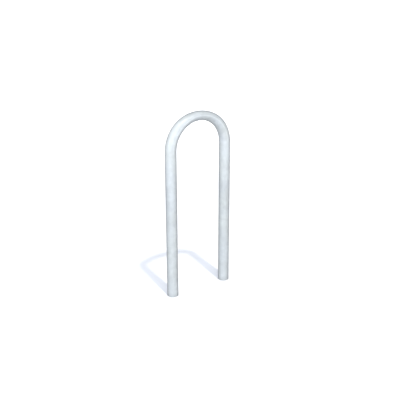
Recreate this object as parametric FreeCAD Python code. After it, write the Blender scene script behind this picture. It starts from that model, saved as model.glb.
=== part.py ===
import FreeCAD, Part
import math
import os

from FreeCAD import Vector

# Hoop bike rack for casting into the ground: one bent steel tube whose two legs run on below ground,
# where a cross bar welded through each leg grips the concrete and a plug closes each open end.
# All sizes are in millimetres. The origin is at ground level, midway between the legs.
# +Z is up, +X runs from the left leg to the right leg, and the front of the rack faces -Y.

# Hoop
tube_diameter = 48.3
tube_wall = 3.2
hoop_height = 820.0
leg_spacing = 280.0
root_depth = 280.0

# Anchor bars, one through each leg below ground
anchor_bar_diameter = 12.0
anchor_bar_length = 150.0
anchor_bar_chamfer = 1.0
anchor_hole_clearance = 0.25
bar_above_plug = 22.0

# Weld beads where each bar leaves its leg
weld_bead_radius = 4.0
weld_bead_offset = 0.5

# End plugs, pushed into the open ends of the legs
plug_head_thickness = 4.0
plug_head_chamfer = 1.0
plug_shank_length = 22.0
plug_wall = 2.5
plug_rib_height = 1.4
plug_rib_length = 3.0
plug_rib_pitch = 5.5
plug_first_rib = 1.5
plug_rib_clearance = 0.05
plug_lead_in = 1.5

# Worked out from the sizes above
tube_radius = tube_diameter / 2
bore_radius = tube_radius - tube_wall
bend_radius = leg_spacing / 2
bend_start_height = hoop_height - tube_radius - bend_radius
bar_radius = anchor_bar_diameter / 2
bar_hole_radius = bar_radius + anchor_hole_clearance
bar_height = -root_depth + plug_shank_length + bar_above_plug + bar_radius
leg_places = {"left": -leg_spacing / 2, "right": leg_spacing / 2}

UP = Vector(0, 0, 1)
BACK = Vector(0, 1, 0)


def cylinder_along(direction, radius, length, centre):
    """A solid cylinder with its middle at centre."""
    start = centre - direction * (length / 2)
    return Part.makeCylinder(radius, length, start, direction)


def bent_rod(radius, overrun):
    """A solid round rod along the hoop's centre line, run on past both leg ends by overrun."""
    bottom = -root_depth - overrun
    section_edge = Part.makeCircle(radius, Vector(bend_radius, 0, bend_start_height), UP)
    section = Part.Face(Part.Wire(section_edge))
    rod = section.revolve(Vector(0, 0, bend_start_height), -BACK, 180)
    for x in leg_places.values():
        leg = Part.makeCylinder(radius, bend_start_height - bottom, Vector(x, 0, bottom), UP)
        rod = rod.fuse(leg)
    return rod


def hoop_tube():
    """The bent tube, hollow from end to end, with a cross hole through each leg for its anchor bar."""
    tube = bent_rod(tube_radius, 0).cut(bent_rod(bore_radius, tube_wall))
    for x in leg_places.values():
        hole = cylinder_along(BACK, bar_hole_radius, 2 * tube_diameter, Vector(x, 0, bar_height))
        tube = tube.cut(hole)
    return tube


def anchor_bar(x):
    """A plain round bar from front to back through one leg, with chamfered ends."""
    half = anchor_bar_length / 2
    face_radius = bar_radius - anchor_bar_chamfer
    outline = [
        Vector(x, -half, bar_height),
        Vector(x + face_radius, -half, bar_height),
        Vector(x + bar_radius, -half + anchor_bar_chamfer, bar_height),
        Vector(x + bar_radius, half - anchor_bar_chamfer, bar_height),
        Vector(x + face_radius, half, bar_height),
        Vector(x, half, bar_height),
    ]
    face = Part.Face(Part.makePolygon(outline + outline[:1]))
    return face.revolve(outline[0], BACK, 360)


def anchor_welds(x):
    """Two round beads, one on the front and one on the back of the leg, each closing a bar's hole."""
    leg = Part.makeCylinder(tube_radius, root_depth, Vector(x, 0, -root_depth), UP)
    bar = cylinder_along(BACK, bar_radius, anchor_bar_length, Vector(x, 0, bar_height))
    ring_radius = bar_radius + weld_bead_offset
    surface_drop = tube_radius - math.sqrt(tube_radius ** 2 - ring_radius ** 2)
    ring_distance = tube_radius - surface_drop / 2
    beads = []
    for side in (-1, 1):
        centre = Vector(x, side * ring_distance, bar_height)
        ring = Part.makeTorus(ring_radius, weld_bead_radius, centre, BACK)
        beads.append(ring.cut(leg).cut(bar))
    return Part.makeCompound(beads)


def end_plug(x):
    """A moulded plug: a head over the tube's end, and a hollow shank whose ribs grip the bore."""
    end = -root_depth
    shank_radius = bore_radius - plug_rib_height
    rib_radius = bore_radius - plug_rib_clearance
    shank_top = end + plug_shank_length
    rib_room = plug_shank_length - plug_lead_in - plug_first_rib - plug_rib_length
    rib_count = int(rib_room / plug_rib_pitch) + 1
    profile = [
        (0, end - plug_head_thickness),
        (tube_radius - plug_head_chamfer, end - plug_head_thickness),
        (tube_radius, end - plug_head_thickness + plug_head_chamfer),
        (tube_radius, end),
        (shank_radius, end),
    ]
    for i in range(rib_count):
        rib_foot = end + plug_first_rib + i * plug_rib_pitch
        profile.append((shank_radius, rib_foot))
        profile.append((rib_radius, rib_foot))
        profile.append((shank_radius, rib_foot + plug_rib_length))
    profile.append((shank_radius, shank_top - plug_lead_in))
    profile.append((shank_radius - plug_lead_in, shank_top))
    profile.append((shank_radius - plug_wall, shank_top))
    profile.append((shank_radius - plug_wall, end))
    profile.append((0, end))
    points = [Vector(x + r, 0, z) for r, z in profile]
    face = Part.Face(Part.makePolygon(points + points[:1]))
    return face.revolve(Vector(x, 0, 0), UP, 360)


def build():
    """Every piece of the rack by node name."""
    nodes = {"hoop_tube": hoop_tube()}
    for side, x in leg_places.items():
        nodes[side + "_anchor_bar"] = anchor_bar(x)
        nodes[side + "_anchor_welds"] = anchor_welds(x)
        nodes[side + "_end_plug"] = end_plug(x)
    return nodes


os.makedirs("parts", exist_ok=True)
for node, shape in build().items():
    shape.exportStep("parts/" + node + ".step")
    solids = shape.Solids
    closed = all(s.isValid() and s.isClosed() for s in solids)
    print(node, "solids", len(solids), "closed", closed, "volume", round(shape.Volume, 1))
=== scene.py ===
import math
import random

import bmesh
import bpy
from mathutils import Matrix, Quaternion, Vector, noise


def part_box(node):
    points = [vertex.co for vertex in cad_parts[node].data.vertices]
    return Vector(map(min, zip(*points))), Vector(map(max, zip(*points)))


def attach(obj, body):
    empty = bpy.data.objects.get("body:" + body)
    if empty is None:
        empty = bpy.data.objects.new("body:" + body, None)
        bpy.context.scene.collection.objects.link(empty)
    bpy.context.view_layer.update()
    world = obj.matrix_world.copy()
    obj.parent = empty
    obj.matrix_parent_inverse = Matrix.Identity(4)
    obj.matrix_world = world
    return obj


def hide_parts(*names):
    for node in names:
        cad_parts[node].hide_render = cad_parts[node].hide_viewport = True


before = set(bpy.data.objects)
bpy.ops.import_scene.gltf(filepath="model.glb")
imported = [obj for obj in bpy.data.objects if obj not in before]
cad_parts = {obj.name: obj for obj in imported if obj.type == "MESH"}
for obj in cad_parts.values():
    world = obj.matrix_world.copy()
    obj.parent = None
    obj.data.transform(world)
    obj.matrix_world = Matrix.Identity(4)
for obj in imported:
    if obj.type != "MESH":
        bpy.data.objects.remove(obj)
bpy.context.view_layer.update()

# Hoop bike rack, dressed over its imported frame. Metres; the ground is at z = 0 and the front faces -Y.
# Sizes of the rack come from the frame; what is named here is only what the frame doesn't hold.

MM = 0.001
BODY = "root"

# The rack, read from the frame
tube_low, tube_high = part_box("hoop_tube")
bar_low, bar_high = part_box("right_anchor_bar")
weld_low, weld_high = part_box("right_anchor_welds")
plug_low, plug_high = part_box("right_end_plug")
TUBE_RADIUS = tube_high.y
LEG_X = tube_high.x - TUBE_RADIUS
LEG_PLACES = {"left": -LEG_X, "right": LEG_X}
BEND_RADIUS = LEG_X
BEND_Z = tube_high.z - TUBE_RADIUS - BEND_RADIUS
ROOT_Z = tube_low.z
LEG_LENGTH = BEND_Z - ROOT_Z
BEND_LENGTH = math.pi * BEND_RADIUS
TUBE_LENGTH = 2 * LEG_LENGTH + BEND_LENGTH
BAR_RADIUS = (bar_high.z - bar_low.z) / 2
BAR_HALF_LENGTH = bar_high.y
BAR_Z = (bar_high.z + bar_low.z) / 2
WELD_REACH = (weld_high.z - weld_low.z) / 2
WELD_FRONT = weld_high.y
PLUG_HEAD = ROOT_Z - plug_low.z
PLUG_TOP = plug_high.z - ROOT_Z

# Walls and clearances inside the rack, which no box shows
TUBE_WALL = 3.2 * MM
BORE_RADIUS = TUBE_RADIUS - TUBE_WALL
BAR_HOLE_CLEARANCE = 0.25 * MM
PLUG_RIB_CLEARANCE = 0.05 * MM

# Camera, as fitted to the photograph; its lens and sensor are in millimetres
CAMERA_AZIMUTH = -35.39
CAMERA_ELEVATION = 20.18
CAMERA_DISTANCE = 3.083
CAMERA_TARGET_Z = 0.418
CAMERA_LENS = 63.95
CAMERA_SENSOR = 36.0
CAMERA_SHIFT_X = 0.004
CAMERA_ROLL = -0.15

# Light: a small high sun, a sky that brightens upwards, and round soft boxes before and behind the rack.
# What the camera itself sees of the sky is a white backdrop.
SUN_AZIMUTH = -7.5
SUN_ELEVATION = 63.9
SUN_ANGLE = 3.0
SUN_STRENGTH = 1.8
SUN_COLOUR = (1.0, 0.938, 0.822)
SKY_RISE = 1.51
FILL_COLOUR = (0.861, 0.907, 1.0)
BACKDROP_WHITE = 1.1
# Floor: half its width, its greys near the rack and far from it, and the distances over which they blend
FLOOR_REACH = 60.0
FLOOR_NEAR = (0.68, 0.68, 0.68)
FLOOR_FAR = (0.86, 0.86, 0.86)
FLOOR_BLEND = (1.2, 3.0)
FLOOR_ROUGHNESS = 0.9
FLOOR_SPECULAR = 0.1
BOX_TARGET_Z = 0.45
# Soft boxes: azimuth and elevation in degrees, distance and diameter in metres, power in watts
SOFT_BOXES = {
    "front_high": (-35, 58, 2.6, 1.2, 25.4),
    "front_low": (-35, 8, 5.0, 2.3, 140),
    "left_low": (-80, 8, 5.0, 2.3, 114),
    "right_low": (10, 8, 5.0, 2.3, 48),
    "behind": (145, 4, 5.0, 1.2, 60),
}
# Soft boxes that leave no highlight
MATT_BOXES = ("behind",)


def direction(azimuth, elevation):
    """Unit vector towards a place seen from the rack: azimuth 0 is the front, positive towards +X."""
    a = math.radians(azimuth)
    e = math.radians(elevation)
    return Vector((math.sin(a) * math.cos(e), -math.cos(a) * math.cos(e), math.sin(e)))


def smooth_step(t):
    """Rises smoothly from 0 at 0 to 1 at 1, and holds outside them."""
    t = min(1.0, max(0.0, t))
    return t * t * (3 - 2 * t)


# Mesh helpers

# How much of each side beside a corner its rounding may take
CORNER_SHARE = 0.45


def link(obj):
    """Puts an object into the scene."""
    bpy.context.scene.collection.objects.link(obj)
    return obj


def mesh_piece(name, verts, faces, smooth=True):
    """A mesh object from points and faces, with its normals turned outwards."""
    mesh = bpy.data.meshes.new(name)
    mesh.from_pydata(verts, [], faces)
    bm = bmesh.new()
    bm.from_mesh(mesh)
    bmesh.ops.recalc_face_normals(bm, faces=bm.faces)
    for face in bm.faces:
        face.smooth = smooth
    bm.to_mesh(mesh)
    bm.free()
    return link(bpy.data.objects.new(name, mesh))


def ring_faces(rings, around, first=0, closed=True):
    """Quads between rings of points laid one after another; closed joins the last ring to the first."""
    faces = []
    spans = rings if closed else rings - 1
    for i in range(spans):
        a = first + i * around
        b = first + ((i + 1) % rings) * around
        for j in range(around):
            k = (j + 1) % around
            faces.append((a + j, a + k, b + k, b + j))
    return faces


def turned(name, profile, around, place):
    """A body of revolution. The profile's (radius, height) points start and end on the axis, and
    place puts a radius, an angle and a height into the rack."""
    inner = profile[1:-1]
    verts = [place(0.0, 0.0, profile[0][1]), place(0.0, 0.0, profile[-1][1])]
    for radius, height in inner:
        verts += [place(radius, 2 * math.pi * j / around, height) for j in range(around)]
    faces = ring_faces(len(inner), around, first=2, closed=False)
    last = 2 + (len(inner) - 1) * around
    for j in range(around):
        k = (j + 1) % around
        faces.append((0, 2 + k, 2 + j))
        faces.append((1, last + j, last + k))
    return mesh_piece(name, verts, faces)


def rounded(corners, steps=4):
    """Outline points through (radius, height, rounding) corners, each turned into a small curve."""
    points = []
    for i, (radius, height, rounding) in enumerate(corners):
        if rounding == 0:
            points.append((radius, height))
            continue
        here = Vector((radius, height))
        back = Vector(corners[i - 1][:2]) - here
        ahead = Vector(corners[i + 1][:2]) - here
        reach = min(rounding, CORNER_SHARE * back.length, CORNER_SHARE * ahead.length)
        start = here + back.normalized() * reach
        end = here + ahead.normalized() * reach
        for k in range(steps + 1):
            t = k / steps
            p = start * (1 - t) ** 2 + here * 2 * t * (1 - t) + end * t ** 2
            points.append((p.x, p.y))
    return points


def subdivided(profile, step):
    """The same outline with points added, so that no two lie further apart than step."""
    points = [profile[0]]
    for a, b in zip(profile, profile[1:]):
        pieces = max(1, math.ceil(math.dist(a, b) / step))
        for k in range(1, pieces + 1):
            t = k / pieces
            points.append((a[0] + (b[0] - a[0]) * t, a[1] + (b[1] - a[1]) * t))
    return points


def store_straight(piece, straighten):
    """Keeps where each point lies on the straightened tube or bar: across it in x and y, along in z."""
    store = piece.data.attributes.new("straight", "FLOAT_VECTOR", "POINT")
    places = [straighten(v.co) for v in piece.data.vertices]
    store.data.foreach_set("vector", [c for p in places for c in p])


def store_along_bar(piece, x):
    """Keeps where each point lies along the bar at x, moved on by x so that the two sides differ."""
    store_straight(piece, lambda p: Vector((p.x - x, p.z - BAR_Z, p.y + x)))


# Bent tube

TUBE_AROUND = 96
LEG_STEP = 4.0 * MM
BEND_STEP = 3.0 * MM
EDGE_ROUND = 0.4 * MM
EDGE_MIDDLE = EDGE_ROUND * 0.3
# Bore: the step between its rings in the bend, and how near they come to the bar's middle
BORE_STEP = 3 * BEND_STEP
BORE_CLEAR = 3 * BAR_RADIUS
DRILL_AROUND = 48
DRILL_REACH = 1.5 * TUBE_RADIUS
# Bend: how far its outer side is drawn in at the top, and how sharply that fades towards the legs
BEND_FLATTEN = 8.0 * MM
BEND_FLATTEN_POWER = 4
# Zinc coat: its waves and grain, the seam groove along the back and the bending die's line
COAT_WAVE = 0.06 * MM
COAT_WAVE_SIZE = 34.0 * MM
COAT_GRAIN = 0.03 * MM
COAT_GRAIN_SIZE = 7.0 * MM
SEAM_DEPTH = 0.08 * MM
SEAM_WIDTH = 3.0 * MM
DIE_LINE_HEIGHT = 0.1 * MM
DIE_LINE_WIDTH = 2.6 * MM
DIE_LINE_FADE = 20 * MM
# Zinc runs: how many and how high, and the ranges of their start as a share of the leg and of their
# length and width in millimetres
RUN_SEED = 11
RUNS_PER_LEG = 9
RUN_HEIGHT = 0.18 * MM
RUN_STARTS = (0.05, 0.95)
RUN_LENGTHS = (25, 90)
RUN_WIDTHS = (1.6, 3.0)
# A run's drop as a share of its length, and how many widths it spreads to each side
RUN_DROP = 0.2
RUN_REACH = 3


def centre_line(s):
    """The tube's axis at length s from the left leg's end, and the direction outwards from the hoop."""
    if s < LEG_LENGTH:
        return Vector((-LEG_X, 0, ROOT_Z + s)), Vector((-1, 0, 0))
    if s < LEG_LENGTH + BEND_LENGTH:
        angle = math.pi - (s - LEG_LENGTH) / BEND_RADIUS
        out = Vector((math.cos(angle), 0, math.sin(angle)))
        return Vector((0, 0, BEND_Z)) + out * BEND_RADIUS, out
    return Vector((LEG_X, 0, ROOT_Z + TUBE_LENGTH - s)), Vector((1, 0, 0))


def straighten_hoop(point):
    """Where a point of the hoop lies when the tube is straight."""
    if point.z > BEND_Z:
        turn = math.pi - math.atan2(point.z - BEND_Z, point.x)
        from_middle = math.hypot(point.x, point.z - BEND_Z)
        return Vector((from_middle - BEND_RADIUS, point.y, LEG_LENGTH + turn * BEND_RADIUS))
    along = point.z - ROOT_Z
    if point.x > 0:
        along = TUBE_LENGTH - along
    return Vector((abs(point.x) - LEG_X, point.y, along))


def flattening(s, phi):
    """How far the cold bend has drawn in the tube's outer side at an angle from outwards: nothing on the
    legs, little on the shoulders and most at the top of the crown."""
    if math.cos(phi) <= 0:
        return 0.0
    share = min(1.0, max(0.0, (s - LEG_LENGTH) / BEND_LENGTH))
    return BEND_FLATTEN * math.sin(math.pi * share) ** BEND_FLATTEN_POWER


def zinc_runs():
    """Thin runs left where the zinc drained down the legs: angle round the tube, start, length, width and
    the direction that its tail takes along the tube."""
    dice = random.Random(RUN_SEED)
    runs = []
    for leg in range(2):
        for i in range(RUNS_PER_LEG):
            angle = dice.uniform(-math.pi, math.pi)
            start = dice.uniform(*RUN_STARTS) * LEG_LENGTH
            length = dice.uniform(*RUN_LENGTHS) * MM
            width = dice.uniform(*RUN_WIDTHS) * MM
            runs.append((angle, start if leg == 0 else TUBE_LENGTH - start, length, width, 1 - 2 * leg))
    return runs


def run_height(straight, runs):
    """Height of the zinc run at a place: a long tail that ends in a drop towards the leg's end."""
    angle = math.atan2(straight.y, straight.x)
    height = 0.0
    for run_angle, start, length, width, upwards in runs:
        along = (straight.z - start) * upwards / length
        if along < -RUN_DROP or along > 1:
            continue
        turn = (angle - run_angle + math.pi) % (2 * math.pi) - math.pi
        across = turn * TUBE_RADIUS / width
        if abs(across) > RUN_REACH:
            continue
        tail = (1 - along) if along > 0 else math.sqrt(1 - (along / RUN_DROP) ** 2)
        height = max(height, RUN_HEIGHT * tail * math.exp(-across * across))
    return height


def die_line(straight):
    """Height of the line that the bending die's edge leaves along the bend, on its front and its back."""
    from_bend = max(LEG_LENGTH - straight.z, straight.z - LEG_LENGTH - BEND_LENGTH)
    fade = 1 - smooth_step(from_bend / DIE_LINE_FADE)
    return DIE_LINE_HEIGHT * fade * math.exp(-(straight.x / DIE_LINE_WIDTH) ** 2)


def coat_depth(straight, runs):
    """How far the zinc coat lies under its highest level, from smooth noise on the straightened tube."""
    wave = noise.noise(straight / COAT_WAVE_SIZE)
    grain = noise.noise(straight / COAT_GRAIN_SIZE)
    seam = 0.0
    if straight.y > 0:
        seam = SEAM_DEPTH * math.exp(-(straight.x / SEAM_WIDTH) ** 2)
    uneven = COAT_WAVE * (1 - wave) / 2 + COAT_GRAIN * (1 - grain) / 2
    return RUN_HEIGHT - run_height(straight, runs) - die_line(straight) + uneven + seam


def wall_stations():
    """Lengths along the tube where its outer wall has a ring of points, close together at the cut ends."""
    stations = [0.0, EDGE_MIDDLE, EDGE_ROUND]
    s = EDGE_ROUND + LEG_STEP
    while s < TUBE_LENGTH - EDGE_ROUND:
        stations.append(s)
        in_bend = LEG_LENGTH - LEG_STEP < s < LEG_LENGTH + BEND_LENGTH
        s += BEND_STEP if in_bend else LEG_STEP
    return stations + [TUBE_LENGTH - EDGE_ROUND, TUBE_LENGTH - EDGE_MIDDLE, TUBE_LENGTH]


def bore_stations():
    """Lengths along the tube where its bore has a ring of points, from the right end to the left."""
    near_bar = BAR_Z - ROOT_Z
    leg = [0.0, near_bar - BORE_CLEAR, near_bar + BORE_CLEAR]
    steps = round(BEND_LENGTH / BORE_STEP)
    bend = [LEG_LENGTH + BEND_LENGTH * k / steps for k in range(steps + 1)]
    return list(reversed(leg + bend + [TUBE_LENGTH - s for s in reversed(leg)]))


def tube_ring(s, radius_at):
    """One ring round the tube at length s. radius_at gives the radii in the hoop's plane and across it, at
    an angle from outwards."""
    centre, out = centre_line(s)
    ring = []
    for j in range(TUBE_AROUND):
        phi = 2 * math.pi * j / TUBE_AROUND
        r_out, r_side = radius_at(phi)
        ring.append(centre + out * (r_out * math.cos(phi)) + Vector((0, r_side * math.sin(phi), 0)))
    return ring


def hoop_tube():
    """The galvanised tube: a zinc coat with waves and runs, a flattened bend, rounded ends, cross holes."""
    runs = zinc_runs()
    verts = []
    for s in wall_stations():
        from_end = min(1.0, min(s, TUBE_LENGTH - s) / EDGE_ROUND)
        trim = EDGE_ROUND * (1 - math.sqrt(1 - (1 - from_end) ** 2))

        def wall(phi):
            place = Vector((TUBE_RADIUS * math.cos(phi), TUBE_RADIUS * math.sin(phi), s))
            radius = TUBE_RADIUS - coat_depth(place, runs) - trim
            return radius - flattening(s, phi), radius

        verts += tube_ring(s, wall)
    for s in bore_stations():

        def bore(phi):
            return BORE_RADIUS - flattening(s, phi), BORE_RADIUS

        verts += tube_ring(s, bore)
    rings = len(verts) // TUBE_AROUND
    tube = mesh_piece("galvanised_hoop", verts, ring_faces(rings, TUBE_AROUND))
    cut_bar_holes(tube)
    store_straight(tube, straighten_hoop)
    return tube


def cut_bar_holes(tube):
    """Drills the hole for each anchor bar through both walls of its leg."""
    radius = BAR_RADIUS + BAR_HOLE_CLEARANCE
    profile = [(0, -DRILL_REACH), (radius, -DRILL_REACH), (radius, DRILL_REACH), (0, DRILL_REACH)]
    drills = []
    for x in LEG_PLACES.values():

        def place(r, angle, h):
            return Vector((x + r * math.cos(angle), h, BAR_Z + r * math.sin(angle)))

        drills.append(turned("drill", profile, DRILL_AROUND, place))
    for drill in drills:
        cut = tube.modifiers.new("bar_hole", "BOOLEAN")
        cut.operation = "DIFFERENCE"
        cut.solver = "EXACT"
        cut.object = drill
    shape = bpy.data.meshes.new_from_object(tube.evaluated_get(bpy.context.evaluated_depsgraph_get()))
    tube.modifiers.clear()
    tube.data = shape
    for drill in drills:
        bpy.data.objects.remove(drill)


# Anchor bars

BAR_AROUND = 40
BAR_STEP = 2.5 * MM
BAR_EDGE = 1.0 * MM
BAR_EDGE_ROUND = BAR_EDGE * 0.6
BAR_COAT_WAVE = 0.14 * MM
BAR_COAT_SIZE = 5.0 * MM
BAR_CUT_DEPTH = 0.35 * MM
BAR_CUT_SIZE = 4.0 * MM


def anchor_bar(side):
    """A round bar with a lumpy zinc coat, its chamfers softened and its sawn ends slightly uneven."""
    x = LEG_PLACES[side]
    corners = [
        (0, -BAR_HALF_LENGTH, 0),
        (BAR_RADIUS - BAR_EDGE, -BAR_HALF_LENGTH, BAR_EDGE_ROUND),
        (BAR_RADIUS, -BAR_HALF_LENGTH + BAR_EDGE, BAR_EDGE_ROUND),
        (BAR_RADIUS, BAR_HALF_LENGTH - BAR_EDGE, BAR_EDGE_ROUND),
        (BAR_RADIUS - BAR_EDGE, BAR_HALF_LENGTH, BAR_EDGE_ROUND),
        (0, BAR_HALF_LENGTH, 0),
    ]
    profile = subdivided(rounded(corners), BAR_STEP)

    def place(radius, angle, height):
        spot = Vector((radius * math.cos(angle), height, radius * math.sin(angle)))
        lump = BAR_COAT_WAVE * (1 - noise.noise((spot + Vector((x, 0, 0))) / BAR_COAT_SIZE)) / 2
        across = max(0.0, radius - lump)
        inwards = 0.0
        if abs(height) > BAR_HALF_LENGTH - BAR_EDGE:
            uneven = (1 + noise.noise((spot + Vector((0, 0, x))) / BAR_CUT_SIZE)) / 2
            inwards = BAR_CUT_DEPTH * uneven * math.copysign(1, height)
        return Vector((x + across * math.cos(angle), height - inwards, BAR_Z + across * math.sin(angle)))

    bar = turned(side + "_galvanised_bar", profile, BAR_AROUND, place)
    store_along_bar(bar, x)
    return bar


# Weld beads

WELD_RADIUS = 4.0 * MM
WELD_RING = WELD_REACH - WELD_RADIUS
WELD_RING_Y = WELD_FRONT - WELD_RADIUS
WELD_AROUND = 216
WELD_SECTION = 14
WELD_RIPPLES = 24
WELD_RIPPLE_DEPTH = 0.28 * MM
WELD_RIPPLE_CURVE = 0.5
WELD_RIPPLE_RISE = 0.3
WELD_UNEVEN = 0.5 * MM
WELD_UNEVEN_SIZE = 5.0 * MM
# How far a bead's edges are buried in the bar and the leg
WELD_BITE = 0.35 * MM
# Search for the bead's edge on the leg: its limits in degrees and its number of halvings
WELD_TOE_LIMIT = 60
WELD_TOE_TRIES = 30


def leg_surface_y(across):
    """How far in front of its axis a leg's wall lies, at a place beside the axis."""
    return math.sqrt(TUBE_RADIUS ** 2 - across ** 2)


def weld_toe(side_share):
    """Angle on the bead's round section where it runs into the leg, found by halving; side_share is 1
    beside the bar."""
    low, high = math.radians(-WELD_TOE_LIMIT), math.radians(WELD_TOE_LIMIT)
    for i in range(WELD_TOE_TRIES):
        middle = (low + high) / 2
        radius = WELD_RING + WELD_RADIUS * math.cos(middle)
        leg = leg_surface_y(radius * side_share) - WELD_BITE
        if WELD_RING_Y + WELD_RADIUS * math.sin(middle) - leg > 0:
            high = middle
        else:
            low = middle
    return high


def ripple(turn, across):
    """Height of a weld's scales, from 0 in a valley to 1: each rises quickly and falls away slowly."""
    phase = turn * WELD_RIPPLES + WELD_RIPPLE_CURVE * (1 - (2 * across - 1) ** 2)
    share = phase - math.floor(phase)
    return smooth_step(share / WELD_RIPPLE_RISE) * (1 - share) / (1 - WELD_RIPPLE_RISE)


def weld_section(x, front, turn):
    """Points of the bead's section at a share of a turn round the bar: from the bar over to the leg, and
    back inside both."""
    angle = 2 * math.pi * turn
    outwards = Vector((math.cos(angle), math.sin(angle), 0))
    side_share = math.cos(angle)
    start = math.acos((BAR_RADIUS - WELD_BITE - WELD_RING) / WELD_RADIUS)
    end = weld_toe(side_share)
    points = []
    for k in range(WELD_SECTION):
        across = k / (WELD_SECTION - 1)
        bead_angle = start + (end - start) * across
        spot = outwards * WELD_RING + Vector((x, across * WELD_RADIUS, front))
        lump = WELD_UNEVEN * (1 + noise.noise(spot / WELD_UNEVEN_SIZE)) / 2
        valley = WELD_RIPPLE_DEPTH * (1 - ripple(turn, across))
        bead_radius = WELD_RADIUS - (lump + valley) * math.sin(math.pi * across)
        radius = WELD_RING + bead_radius * math.cos(bead_angle)
        points.append((radius, WELD_RING_Y + bead_radius * math.sin(bead_angle)))
    root_radius = BAR_RADIUS - WELD_BITE
    points.append((root_radius, leg_surface_y(root_radius * side_share) - WELD_BITE))
    return [
        Vector((x + r * math.cos(angle), front * y, BAR_Z + r * math.sin(angle)))
        for r, y in points
    ]


def anchor_welds(side):
    """The two beads that close one bar's holes, on the front and the back of its leg."""
    x = LEG_PLACES[side]
    verts, faces = [], []
    for front in (-1, 1):
        first = len(verts)
        for i in range(WELD_AROUND):
            verts += weld_section(x, front, i / WELD_AROUND)
        faces += ring_faces(WELD_AROUND, WELD_SECTION + 1, first=first)
    welds = mesh_piece(side + "_weld_beads", verts, faces)
    store_along_bar(welds, x)
    return welds


# End plugs

PLUG_AROUND = 96
PLUG_STEP = 4.0 * MM
PLUG_WALL = 2.5 * MM
PLUG_LEAD_IN = 1.5 * MM
PLUG_RIBS = 3
PLUG_FIRST_RIB = 1.5 * MM
PLUG_RIB_PITCH = 5.5 * MM
PLUG_RIB_LENGTH = 3.0 * MM
PLUG_RIB_HEIGHT = 1.4 * MM
PLUG_RIB_RISE = 0.25 * MM
PLUG_SHANK_RADIUS = BORE_RADIUS - PLUG_RIB_HEIGHT
PLUG_RIB_RADIUS = BORE_RADIUS - PLUG_RIB_CLEARANCE
PLUG_INNER_RADIUS = PLUG_SHANK_RADIUS - PLUG_WALL
# Marks under the head: a ring, and a round recess with the gate's nib
PLUG_RING_RADIUS = 17.0 * MM
PLUG_RING_WIDTH = 1.2 * MM
PLUG_MARK_DEPTH = 0.4 * MM
PLUG_MARK_SLOPE = 0.3 * MM
GATE_RECESS_RADIUS = 3.2 * MM
GATE_RADIUS = 1.1 * MM
GATE_FOOT_RADIUS = GATE_RADIUS * 1.2
GATE_DEPTH = PLUG_MARK_DEPTH * 0.3
# Roundings of the plug's edges
PLUG_MARK_ROUND = 0.2 * MM
PLUG_FINE_ROUND = 0.3 * MM
PLUG_LIP_ROUND = 0.4 * MM
PLUG_SHANK_ROUND = 0.5 * MM
PLUG_RIB_ROUND = 0.6 * MM
PLUG_FLOOR_ROUND = 1.5 * MM
PLUG_HEAD_ROUND = 1.6 * MM


def end_plug(side):
    """The moulded plug: a rounded head marked on its underside, and a hollow ribbed shank in the bore."""
    x = LEG_PLACES[side]
    under = -PLUG_HEAD
    marked = under + PLUG_MARK_DEPTH
    ring_end = PLUG_RING_RADIUS + PLUG_RING_WIDTH
    corners = [
        (0, under + GATE_DEPTH, 0),
        (GATE_RADIUS, under + GATE_DEPTH, PLUG_MARK_ROUND),
        (GATE_FOOT_RADIUS, marked, PLUG_MARK_ROUND),
        (GATE_RECESS_RADIUS, marked, PLUG_FINE_ROUND),
        (GATE_RECESS_RADIUS + PLUG_MARK_DEPTH, under, PLUG_FINE_ROUND),
        (PLUG_RING_RADIUS, under, PLUG_MARK_ROUND),
        (PLUG_RING_RADIUS + PLUG_MARK_SLOPE, marked, PLUG_MARK_ROUND),
        (ring_end, marked, PLUG_MARK_ROUND),
        (ring_end + PLUG_MARK_SLOPE, under, PLUG_MARK_ROUND),
        (TUBE_RADIUS, under, PLUG_HEAD_ROUND),
        (TUBE_RADIUS, 0, PLUG_FINE_ROUND),
        (PLUG_SHANK_RADIUS, 0, PLUG_SHANK_ROUND),
    ]
    for i in range(PLUG_RIBS):
        foot = PLUG_FIRST_RIB + i * PLUG_RIB_PITCH
        corners.append((PLUG_SHANK_RADIUS, foot, PLUG_FINE_ROUND))
        corners.append((PLUG_RIB_RADIUS, foot + PLUG_RIB_RISE, PLUG_FINE_ROUND))
        corners.append((PLUG_SHANK_RADIUS, foot + PLUG_RIB_LENGTH, PLUG_RIB_ROUND))
    corners += [
        (PLUG_SHANK_RADIUS, PLUG_TOP - PLUG_LEAD_IN, PLUG_SHANK_ROUND),
        (PLUG_SHANK_RADIUS - PLUG_LEAD_IN, PLUG_TOP, PLUG_LIP_ROUND),
        (PLUG_INNER_RADIUS, PLUG_TOP, PLUG_LIP_ROUND),
        (PLUG_INNER_RADIUS, 0, PLUG_FLOOR_ROUND),
        (0, 0, 0),
    ]

    def place(radius, angle, height):
        return Vector((x + radius * math.cos(angle), radius * math.sin(angle), ROOT_Z + height))

    profile = subdivided(rounded(corners), PLUG_STEP)
    return turned(side + "_black_plug", profile, PLUG_AROUND, place)


# Materials

# Zinc: two tints of grey, which run into the blue one at the foot as painted bluish bounce light, and a
# grey film that paints shade along the rims
ZINC_BLUE = (0.418, 0.442, 0.447)
ZINC_GREEN = (0.422, 0.444, 0.437)
ZINC_TINT_SIZE = 110 * MM
ZINC_TINT_SPREAD = (0.38, 0.62)
# Height below which the tint turns blue: painted bluish light bounced from the floor
FOOT_BOUNCE_BLUE_HEIGHT = 150 * MM
ZINC_ROUGHNESS = 0.36
ZINC_SPECULAR = 0.3
ZINC_RELIEF = 0.12 * MM
# Grey film that paints shade along the rims, darker at a slant
RIM_SHADE_TINT = 0.82
DULL_ROUGHNESS = 0.5
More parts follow.
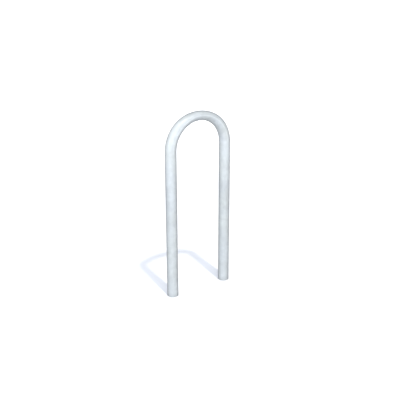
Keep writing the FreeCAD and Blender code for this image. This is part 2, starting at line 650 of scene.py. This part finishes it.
# Patterns of the zinc: their sizes, and how far each one varies the tone, the roughness and the relief
CLOUD_SIZE = 48 * MM
SPANGLE_SIZE = 17 * MM
STREAK_SIZE = 9 * MM
STREAK_STRETCH = 14.0
GRAIN_SIZE = 1.6 * MM
CLOUD_TONE = 0.28
SPANGLE_TONE = 0.07
PATCH_TONE = 0.15
STREAK_TONE = 0.14
GRAIN_TONE = 0.10
CLOUD_ROUGHNESS = 0.16
SPANGLE_ROUGHNESS = 0.10
GRAIN_ROUGHNESS = 0.08
GRAIN_RELIEF = 0.5
PATCH_RELIEF = 0.4
SPANGLE_RELIEF = 0.12
# Scuffs: drawn-out lines between crystals, where a wide noise is high
SCUFF_SIZE = 5.0 * MM
SCUFF_STRETCH = 16.0
SCUFF_TURN = 68.0
SCUFF_LINE = (0.01, 0.04)
SCUFF_SPACING = 60 * MM
SCUFF_SPREAD = (0.58, 0.68)
SCUFF_TONE = 0.06
SCUFF_POLISH = 0.10
# Tones along the tube: dusty and darker at the foot, partly painted contact shade, and lighter above that;
# painted light up to the bend, painted shade on the crown's top and inner side, painted highlight on the
# die line
# Dusty and darker at the foot, partly painted contact shade where the leg meets the ground
FOOT_DUST_AND_SHADE_HEIGHT = 28 * MM
FOOT_DUST_AND_SHADE_TONE = 0.34
# Lighter up to 40 mm above the ground, fading out by 100 mm
FOOT_LIGHTER_HEIGHTS = (40 * MM, 100 * MM)
FOOT_LIGHTER_TONE = 0.07
# Painted light: brighter up the legs towards the bend
PAINTED_LIGHT_HEIGHTS = (420 * MM, 680 * MM)
PAINTED_LIGHT_TONE = 0.09
# Painted shade on top of the crown
CROWN_SHADE_HEIGHTS = (tube_high.z - 55 * MM, tube_high.z - 20 * MM)
CROWN_SHADE_TONE = 0.08
# Painted shade on the bend's inner side
BEND_INSIDE_SHADE_TONE = 0.17
# Painted highlight along the die's line
DIE_LINE_HIGHLIGHT_TONE = 0.16
DIE_LINE_POLISH = 0.08
DIE_LINE_EDGE = (0.3 * DIE_LINE_WIDTH, 1.3 * DIE_LINE_WIDTH)
# Black polyethylene
PLASTIC_DARK = (0.016, 0.016, 0.018)
PLASTIC_PALE = (0.07, 0.07, 0.072)
PLASTIC_ROUGHNESS = 0.42
PLASTIC_RELIEF = 0.05 * MM
PLASTIC_LUMPY = 0.35
PLASTIC_GRAIN_SIZE = 0.7 * MM
PLASTIC_GRAIN_ROUGHNESS = 0.14
PLASTIC_CLOUD_SIZE = 9 * MM
PLASTIC_CLOUD_PALENESS = 0.25
PLASTIC_CLOUD_ROUGHNESS = 0.22
PLASTIC_SCUFF_SIZE = 3.0 * MM
PLASTIC_SCUFF_LINE = (0.01, 0.05)
PLASTIC_SCUFF_SPREAD = (0.5, 0.62)
PLASTIC_SCUFF_PALENESS = 0.5
PLASTIC_SCUFF_ROUGHNESS = 0.12


class Finish:
    """A material with one principled shader, and short ways to add the nodes of its pattern."""

    def __init__(self, name):
        self.material = bpy.data.materials.new(name)
        self.material.use_nodes = True
        self.nodes = self.material.node_tree.nodes
        self.nodes.clear()
        out = self.nodes.new("ShaderNodeOutputMaterial")
        self.shader = self.nodes.new("ShaderNodeBsdfPrincipled")
        self.link(self.shader.outputs[0], out.inputs[0])

    def link(self, source, target):
        """Joins a node's output to an input."""
        self.material.node_tree.links.new(source, target)

    def feed(self, value, socket):
        """Puts a plain value or another node's output into a socket."""
        if isinstance(value, bpy.types.NodeSocket):
            self.link(value, socket)
        else:
            socket.default_value = value

    def straight(self):
        """Places on the straightened tube or bar, in metres."""
        node = self.nodes.new("ShaderNodeAttribute")
        node.attribute_name = "straight"
        return node.outputs["Vector"]

    def rack_place(self):
        """Places in the rack's own frame, in metres."""
        return self.nodes.new("ShaderNodeTexCoord").outputs["Object"]

    def along(self, place, axis):
        """One coordinate of a place."""
        node = self.nodes.new("ShaderNodeSeparateXYZ")
        self.link(place, node.inputs[0])
        return node.outputs[axis]

    def length(self, place):
        """Distance from the rack's middle on the ground."""
        node = self.nodes.new("ShaderNodeVectorMath")
        node.operation = "LENGTH"
        self.link(place, node.inputs[0])
        return node.outputs["Value"]

    def stretched(self, place, stretch, turn=0.0):
        """Places for a pattern drawn out along the tube, or along a line turned away from it in degrees."""
        node = self.nodes.new("ShaderNodeMapping")
        node.vector_type = "TEXTURE"
        node.inputs["Rotation"].default_value = (0.0, math.radians(turn), 0.0)
        node.inputs["Scale"].default_value = (1.0, 1.0, stretch)
        self.link(place, node.inputs["Vector"])
        return node.outputs[0]

    def noise(self, place, size, detail=2.0, roughness=0.5):
        """Smooth noise about 0.5 whose features are about size across."""
        node = self.nodes.new("ShaderNodeTexNoise")
        node.inputs["Scale"].default_value = 1 / size
        node.inputs["Detail"].default_value = detail
        node.inputs["Roughness"].default_value = roughness
        self.link(place, node.inputs["Vector"])
        return node.outputs["Fac"]

    def crystals(self, place, size):
        """A random value from 0 to 1 for each crystal, about size across."""
        node = self.nodes.new("ShaderNodeTexVoronoi")
        node.inputs["Scale"].default_value = 1 / size
        self.link(place, node.inputs["Vector"])
        split = self.nodes.new("ShaderNodeSeparateColor")
        self.link(node.outputs["Color"], split.inputs[0])
        return split.outputs["Red"]

    def edges(self, place, size):
        """Distance to the nearest edge between crystals about size across, in shares of that size."""
        node = self.nodes.new("ShaderNodeTexVoronoi")
        node.feature = "DISTANCE_TO_EDGE"
        node.inputs["Scale"].default_value = 1 / size
        self.link(place, node.inputs["Vector"])
        return node.outputs["Distance"]

    def added(self, total, *parts):
        """total plus each (value, share) part."""
        for value, share in parts:
            node = self.nodes.new("ShaderNodeMath")
            node.operation = "MULTIPLY_ADD"
            self.link(value, node.inputs[0])
            node.inputs[1].default_value = share
            self.feed(total, node.inputs[2])
            total = node.outputs[0]
        return total

    def varied(self, middle, *parts):
        """middle plus each (value, share) part, where a value of 0.5 changes nothing."""
        return self.added(middle - sum(share for value, share in parts) / 2, *parts)

    def times(self, a, b):
        """The product of two values."""
        node = self.nodes.new("ShaderNodeMath")
        node.operation = "MULTIPLY"
        self.feed(a, node.inputs[0])
        self.feed(b, node.inputs[1])
        return node.outputs[0]

    def size(self, value):
        """A value without its sign."""
        node = self.nodes.new("ShaderNodeMath")
        node.operation = "ABSOLUTE"
        self.link(value, node.inputs[0])
        return node.outputs[0]

    def band(self, value, low, high, at_low=0.0, at_high=1.0):
        """Carries a value smoothly from at_low at low to at_high at high, and holds it outside them."""
        node = self.nodes.new("ShaderNodeMapRange")
        node.interpolation_type = "SMOOTHSTEP"
        node.inputs["From Min"].default_value = low
        node.inputs["From Max"].default_value = high
        node.inputs["To Min"].default_value = at_low
        node.inputs["To Max"].default_value = at_high
        self.link(value, node.inputs["Value"])
        return node.outputs["Result"]

    def blended(self, share, first, second):
        """Two plain colours mixed by a share."""
        node = self.nodes.new("ShaderNodeMix")
        node.data_type = "RGBA"
        self.link(share, node.inputs["Factor"])
        ends = [socket for socket in node.inputs if socket.type == "RGBA"]
        ends[0].default_value = (*first, 1)
        ends[1].default_value = (*second, 1)
        return [socket for socket in node.outputs if socket.type == "RGBA"][0]

    def scuffs(self, place, size, line, where, spread):
        """Drawn-out lines between crystals about size across, where another pattern is high."""
        lines = self.edges(self.stretched(place, SCUFF_STRETCH, SCUFF_TURN), size)
        return self.times(self.band(lines, *line, 1.0, 0.0), self.band(where, *spread))

    def shaded(self, colour, tone):
        """A colour made lighter or darker by a tone about 1."""
        node = self.nodes.new("ShaderNodeVectorMath")
        node.operation = "SCALE"
        self.link(colour, node.inputs[0])
        self.link(tone, node.inputs["Scale"])
        return node.outputs[0]

    def bump(self, height, distance, strength):
        """Raises the surface by up to distance where height is 1."""
        node = self.nodes.new("ShaderNodeBump")
        node.inputs["Distance"].default_value = distance
        node.inputs["Strength"].default_value = strength
        self.link(height, node.inputs["Height"])
        self.link(node.outputs["Normal"], self.shader.inputs["Normal"])


def die_line_polish_and_highlight(finish, place, height):
    """The line that the bending die has polished smoother on the bend's front and back, with a painted
    highlight brightening it.
    """
    near_bend = finish.band(height, BEND_Z - DIE_LINE_FADE, BEND_Z + DIE_LINE_FADE)
    on_line = finish.band(finish.size(finish.along(place, "X")), *DIE_LINE_EDGE, 1.0, 0.0)
    return finish.times(near_bend, on_line)


def height_tones_with_painted_light(finish, place, height, streaks):
    """Parts of the zinc's tone that change with height: dusty and darker where it meets the ground, partly
    as painted contact shade, lighter above that, painted light towards the bend, and painted shade on top
    of the crown and on its inner side."""
    # Dusty and darker at the foot, partly painted contact shade
    foot = finish.band(height, 0.0, FOOT_DUST_AND_SHADE_HEIGHT, 1.0, 0.0)
    dust_and_contact_shade = finish.times(foot, streaks)
    # Lighter up to 40 mm above the ground, fading out by 100 mm
    lighter_low = finish.band(height, *FOOT_LIGHTER_HEIGHTS, 1.0, 0.0)
    # Painted shade on top of the crown
    painted_shade_on_top = finish.band(height, *CROWN_SHADE_HEIGHTS)
    # Painted light, brighter towards the bend
    bright = finish.band(height, *PAINTED_LIGHT_HEIGHTS)
    # Painted shade on the bend's inner side
    in_bend = finish.band(height, BEND_Z, BEND_Z + BEND_RADIUS / 2)
    inwards = finish.band(finish.along(place, "X"), -TUBE_RADIUS, 0.0, 1.0, 0.0)
    painted_shade_inside = finish.times(in_bend, inwards)
    return (
        (dust_and_contact_shade, -FOOT_DUST_AND_SHADE_TONE),
        (lighter_low, FOOT_LIGHTER_TONE),
        (painted_shade_on_top, -CROWN_SHADE_TONE),
        (bright, PAINTED_LIGHT_TONE),
        (painted_shade_inside, -BEND_INSIDE_SHADE_TONE),
    )


def galvanised(name, contrast=1.0, dull=0.0, lumpy=0.35):
    """Hot-dip zinc: cloudy patches, soft crystals, faint drawn-out streaks, fine grain and a few scuffs.
    contrast scales how far they vary the tone; dull darkens and roughens the coat; lumpy is its bump.
    A thin grey film lies over it, without gloss of its own, and darkens it more at a slant: painted shade
    along the rims."""
    finish = Finish(name)
    place = finish.straight()
    height = finish.along(finish.rack_place(), "Z")
    clouds = finish.noise(place, CLOUD_SIZE, detail=3.0, roughness=0.55)
    spangle = finish.crystals(place, SPANGLE_SIZE)
    patches = finish.noise(place, SPANGLE_SIZE, detail=1.0)
    streaks = finish.noise(finish.stretched(place, STREAK_STRETCH), STREAK_SIZE)
    grain = finish.noise(place, GRAIN_SIZE, detail=3.0, roughness=0.6)
    scuff_area = finish.noise(place, SCUFF_SPACING)
    scuffs = finish.scuffs(place, SCUFF_SIZE, SCUFF_LINE, scuff_area, SCUFF_SPREAD)
    # The die's line: smoother zinc, and a painted highlight in its colour
    polish_and_highlight = die_line_polish_and_highlight(finish, place, height)

    tint = finish.band(finish.noise(place, ZINC_TINT_SIZE), *ZINC_TINT_SPREAD)
    # Towards the foot the tint turns fully blue: painted bluish bounce light
    tint = finish.times(tint, finish.band(height, 0.0, FOOT_BOUNCE_BLUE_HEIGHT))
    tone = finish.varied(
        1.0 - dull,
        (clouds, CLOUD_TONE * contrast),
        (spangle, SPANGLE_TONE * contrast),
        (patches, PATCH_TONE * contrast),
        (streaks, STREAK_TONE * contrast),
        (grain, GRAIN_TONE * contrast),
    )
    tone = finish.added(
        tone,
        (scuffs, SCUFF_TONE),
        *height_tones_with_painted_light(finish, place, height, streaks),
        (polish_and_highlight, DIE_LINE_HIGHLIGHT_TONE),
    )
    colour = finish.shaded(finish.blended(tint, ZINC_BLUE, ZINC_GREEN), tone)
    finish.link(colour, finish.shader.inputs["Base Color"])

    rough = finish.varied(
        ZINC_ROUGHNESS + DULL_ROUGHNESS * dull,
        (spangle, SPANGLE_ROUGHNESS),
        (clouds, CLOUD_ROUGHNESS),
        (grain, GRAIN_ROUGHNESS),
    )
    rough = finish.added(rough, (scuffs, -SCUFF_POLISH), (polish_and_highlight, -DIE_LINE_POLISH))
    finish.link(rough, finish.shader.inputs["Roughness"])
    finish.shader.inputs["Specular IOR Level"].default_value = ZINC_SPECULAR
    # The coat is a grey film without gloss: painted shade that darkens the rims
    finish.shader.inputs["Coat Weight"].default_value = 1.0
    finish.shader.inputs["Coat IOR"].default_value = 1.0
    finish.shader.inputs["Coat Roughness"].default_value = ZINC_ROUGHNESS
    finish.shader.inputs["Coat Tint"].default_value = (RIM_SHADE_TINT, RIM_SHADE_TINT, RIM_SHADE_TINT, 1)

    relief = finish.varied(0.5, (grain, GRAIN_RELIEF), (patches, PATCH_RELIEF), (spangle, SPANGLE_RELIEF))
    finish.bump(relief, ZINC_RELIEF, lumpy)
    return finish.material


def black_plastic(name):
    """Moulded black polyethylene: waxy, with fine mould grain, cloudy gloss and pale scuffs."""
    finish = Finish(name)
    place = finish.rack_place()
    grain = finish.noise(place, PLASTIC_GRAIN_SIZE, detail=3.0)
    clouds = finish.noise(place, PLASTIC_CLOUD_SIZE, detail=2.0)
    scuffs = finish.scuffs(place, PLASTIC_SCUFF_SIZE, PLASTIC_SCUFF_LINE, clouds, PLASTIC_SCUFF_SPREAD)
    pale = finish.added(0.0, (scuffs, PLASTIC_SCUFF_PALENESS), (clouds, PLASTIC_CLOUD_PALENESS))
    colour = finish.blended(pale, PLASTIC_DARK, PLASTIC_PALE)
    finish.link(colour, finish.shader.inputs["Base Color"])
    rough = finish.varied(
        PLASTIC_ROUGHNESS,
        (clouds, PLASTIC_CLOUD_ROUGHNESS),
        (grain, PLASTIC_GRAIN_ROUGHNESS),
        (scuffs, PLASTIC_SCUFF_ROUGHNESS),
    )
    finish.link(rough, finish.shader.inputs["Roughness"])
    finish.bump(grain, PLASTIC_RELIEF, PLASTIC_LUMPY)
    return finish.material


def floor_material():
    """Plain matt floor, pale round the rack and whiter further out, where the light is weaker."""
    finish = Finish("pale_floor")
    outwards = finish.band(finish.length(finish.rack_place()), *FLOOR_BLEND)
    colour = finish.blended(outwards, FLOOR_NEAR, FLOOR_FAR)
    finish.link(colour, finish.shader.inputs["Base Color"])
    finish.shader.inputs["Roughness"].default_value = FLOOR_ROUGHNESS
    finish.shader.inputs["Specular IOR Level"].default_value = FLOOR_SPECULAR
    return finish.material


# Floor, light and camera

def make_floor():
    """A wide square floor at ground level, which isn't part of the rack."""
    corners = ((-1, -1), (1, -1), (1, 1), (-1, 1))
    verts = [Vector((x * FLOOR_REACH, y * FLOOR_REACH, 0)) for x, y in corners]
    floor = mesh_piece("floor", verts, [(0, 1, 2, 3)], smooth=False)
    floor.data.materials.append(floor_material())


def make_camera():
    """The camera at the photograph's viewing angle."""
    data = bpy.data.cameras.new("camera")
    data.lens = CAMERA_LENS
    data.sensor_width = CAMERA_SENSOR
    data.shift_x = CAMERA_SHIFT_X
    camera = link(bpy.data.objects.new("camera", data))
    back = direction(CAMERA_AZIMUTH, CAMERA_ELEVATION)
    camera.location = Vector((0, 0, CAMERA_TARGET_Z)) + back * CAMERA_DISTANCE
    camera.rotation_mode = "QUATERNION"
    roll = Quaternion((0, 0, 1), math.radians(CAMERA_ROLL))
    camera.rotation_quaternion = (-back).to_track_quat("-Z", "Y") @ roll
    bpy.context.scene.camera = camera


def shine_from(light, back):
    """Turns a light so that it shines from the direction back towards the rack."""
    light.rotation_mode = "QUATERNION"
    light.rotation_quaternion = (-back).to_track_quat("-Z", "Y")


def make_sun():
    """A small warm sun, high and a little to the left of the front."""
    data = bpy.data.lights.new("sun", "SUN")
    data.energy = SUN_STRENGTH
    data.angle = math.radians(SUN_ANGLE)
    data.color = SUN_COLOUR
    shine_from(link(bpy.data.objects.new("sun", data)), direction(SUN_AZIMUTH, SUN_ELEVATION))


def make_soft_boxes():
    """The round soft boxes, all aimed at the middle of the rack."""
    for name, (azimuth, elevation, distance, size, power) in SOFT_BOXES.items():
        data = bpy.data.lights.new(name, "AREA")
        data.shape = "DISK"
        data.size = size
        data.energy = power
        data.color = FILL_COLOUR
        box = link(bpy.data.objects.new(name, data))
        box.visible_glossy = name not in MATT_BOXES
        back = direction(azimuth, elevation)
        box.location = Vector((0, 0, BOX_TARGET_Z)) + back * distance
        shine_from(box, back)


def make_sky():
    """A sky dark at the horizon and bright overhead, which the camera itself sees as a white backdrop."""
    world = bpy.data.worlds.new("sky")
    world.use_nodes = True
    nodes, links = world.node_tree.nodes, world.node_tree.links
    sky = nodes["Background"]
    sky.inputs["Color"].default_value = (*FILL_COLOUR, 1)
    place = nodes.new("ShaderNodeTexCoord")
    height = nodes.new("ShaderNodeSeparateXYZ")
    links.new(place.outputs["Generated"], height.inputs[0])
    above = nodes.new("ShaderNodeMath")
    above.operation = "MAXIMUM"
    above.inputs[1].default_value = 0.0
    links.new(height.outputs["Z"], above.inputs[0])
    strength = nodes.new("ShaderNodeMath")
    strength.operation = "MULTIPLY"
    strength.inputs[1].default_value = SKY_RISE
    links.new(above.outputs[0], strength.inputs[0])
    links.new(strength.outputs[0], sky.inputs["Strength"])
    backdrop = nodes.new("ShaderNodeBackground")
    backdrop.inputs["Color"].default_value = (1, 1, 1, 1)
    backdrop.inputs["Strength"].default_value = BACKDROP_WHITE
    seen = nodes.new("ShaderNodeLightPath")
    choose = nodes.new("ShaderNodeMixShader")
    links.new(seen.outputs["Is Camera Ray"], choose.inputs[0])
    links.new(sky.outputs[0], choose.inputs[1])
    links.new(backdrop.outputs[0], choose.inputs[2])
    links.new(choose.outputs[0], nodes["World Output"].inputs["Surface"])
    bpy.context.scene.world = world


def dress(piece, node, material):
    """Gives a piece its material, and has it stand for its node on the rack's body."""
    piece.data.materials.clear()
    piece.data.materials.append(material)
    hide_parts(node)
    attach(piece, BODY)


make_camera()
make_sun()
make_soft_boxes()
make_sky()
make_floor()

tube_zinc = galvanised("galvanised_tube")
bar_zinc = galvanised("galvanised_bar", contrast=1.2, dull=0.04, lumpy=0.5)
weld_zinc = galvanised("galvanised_weld", contrast=1.3, dull=0.08, lumpy=0.6)
plug_plastic = black_plastic("black_polyethylene")
dress(hoop_tube(), "hoop_tube", tube_zinc)
for side in LEG_PLACES:
    dress(anchor_bar(side), side + "_anchor_bar", bar_zinc)
    dress(anchor_welds(side), side + "_anchor_welds", weld_zinc)
    dress(end_plug(side), side + "_end_plug", plug_plastic)

bpy.context.scene.view_settings.view_transform = "Standard"
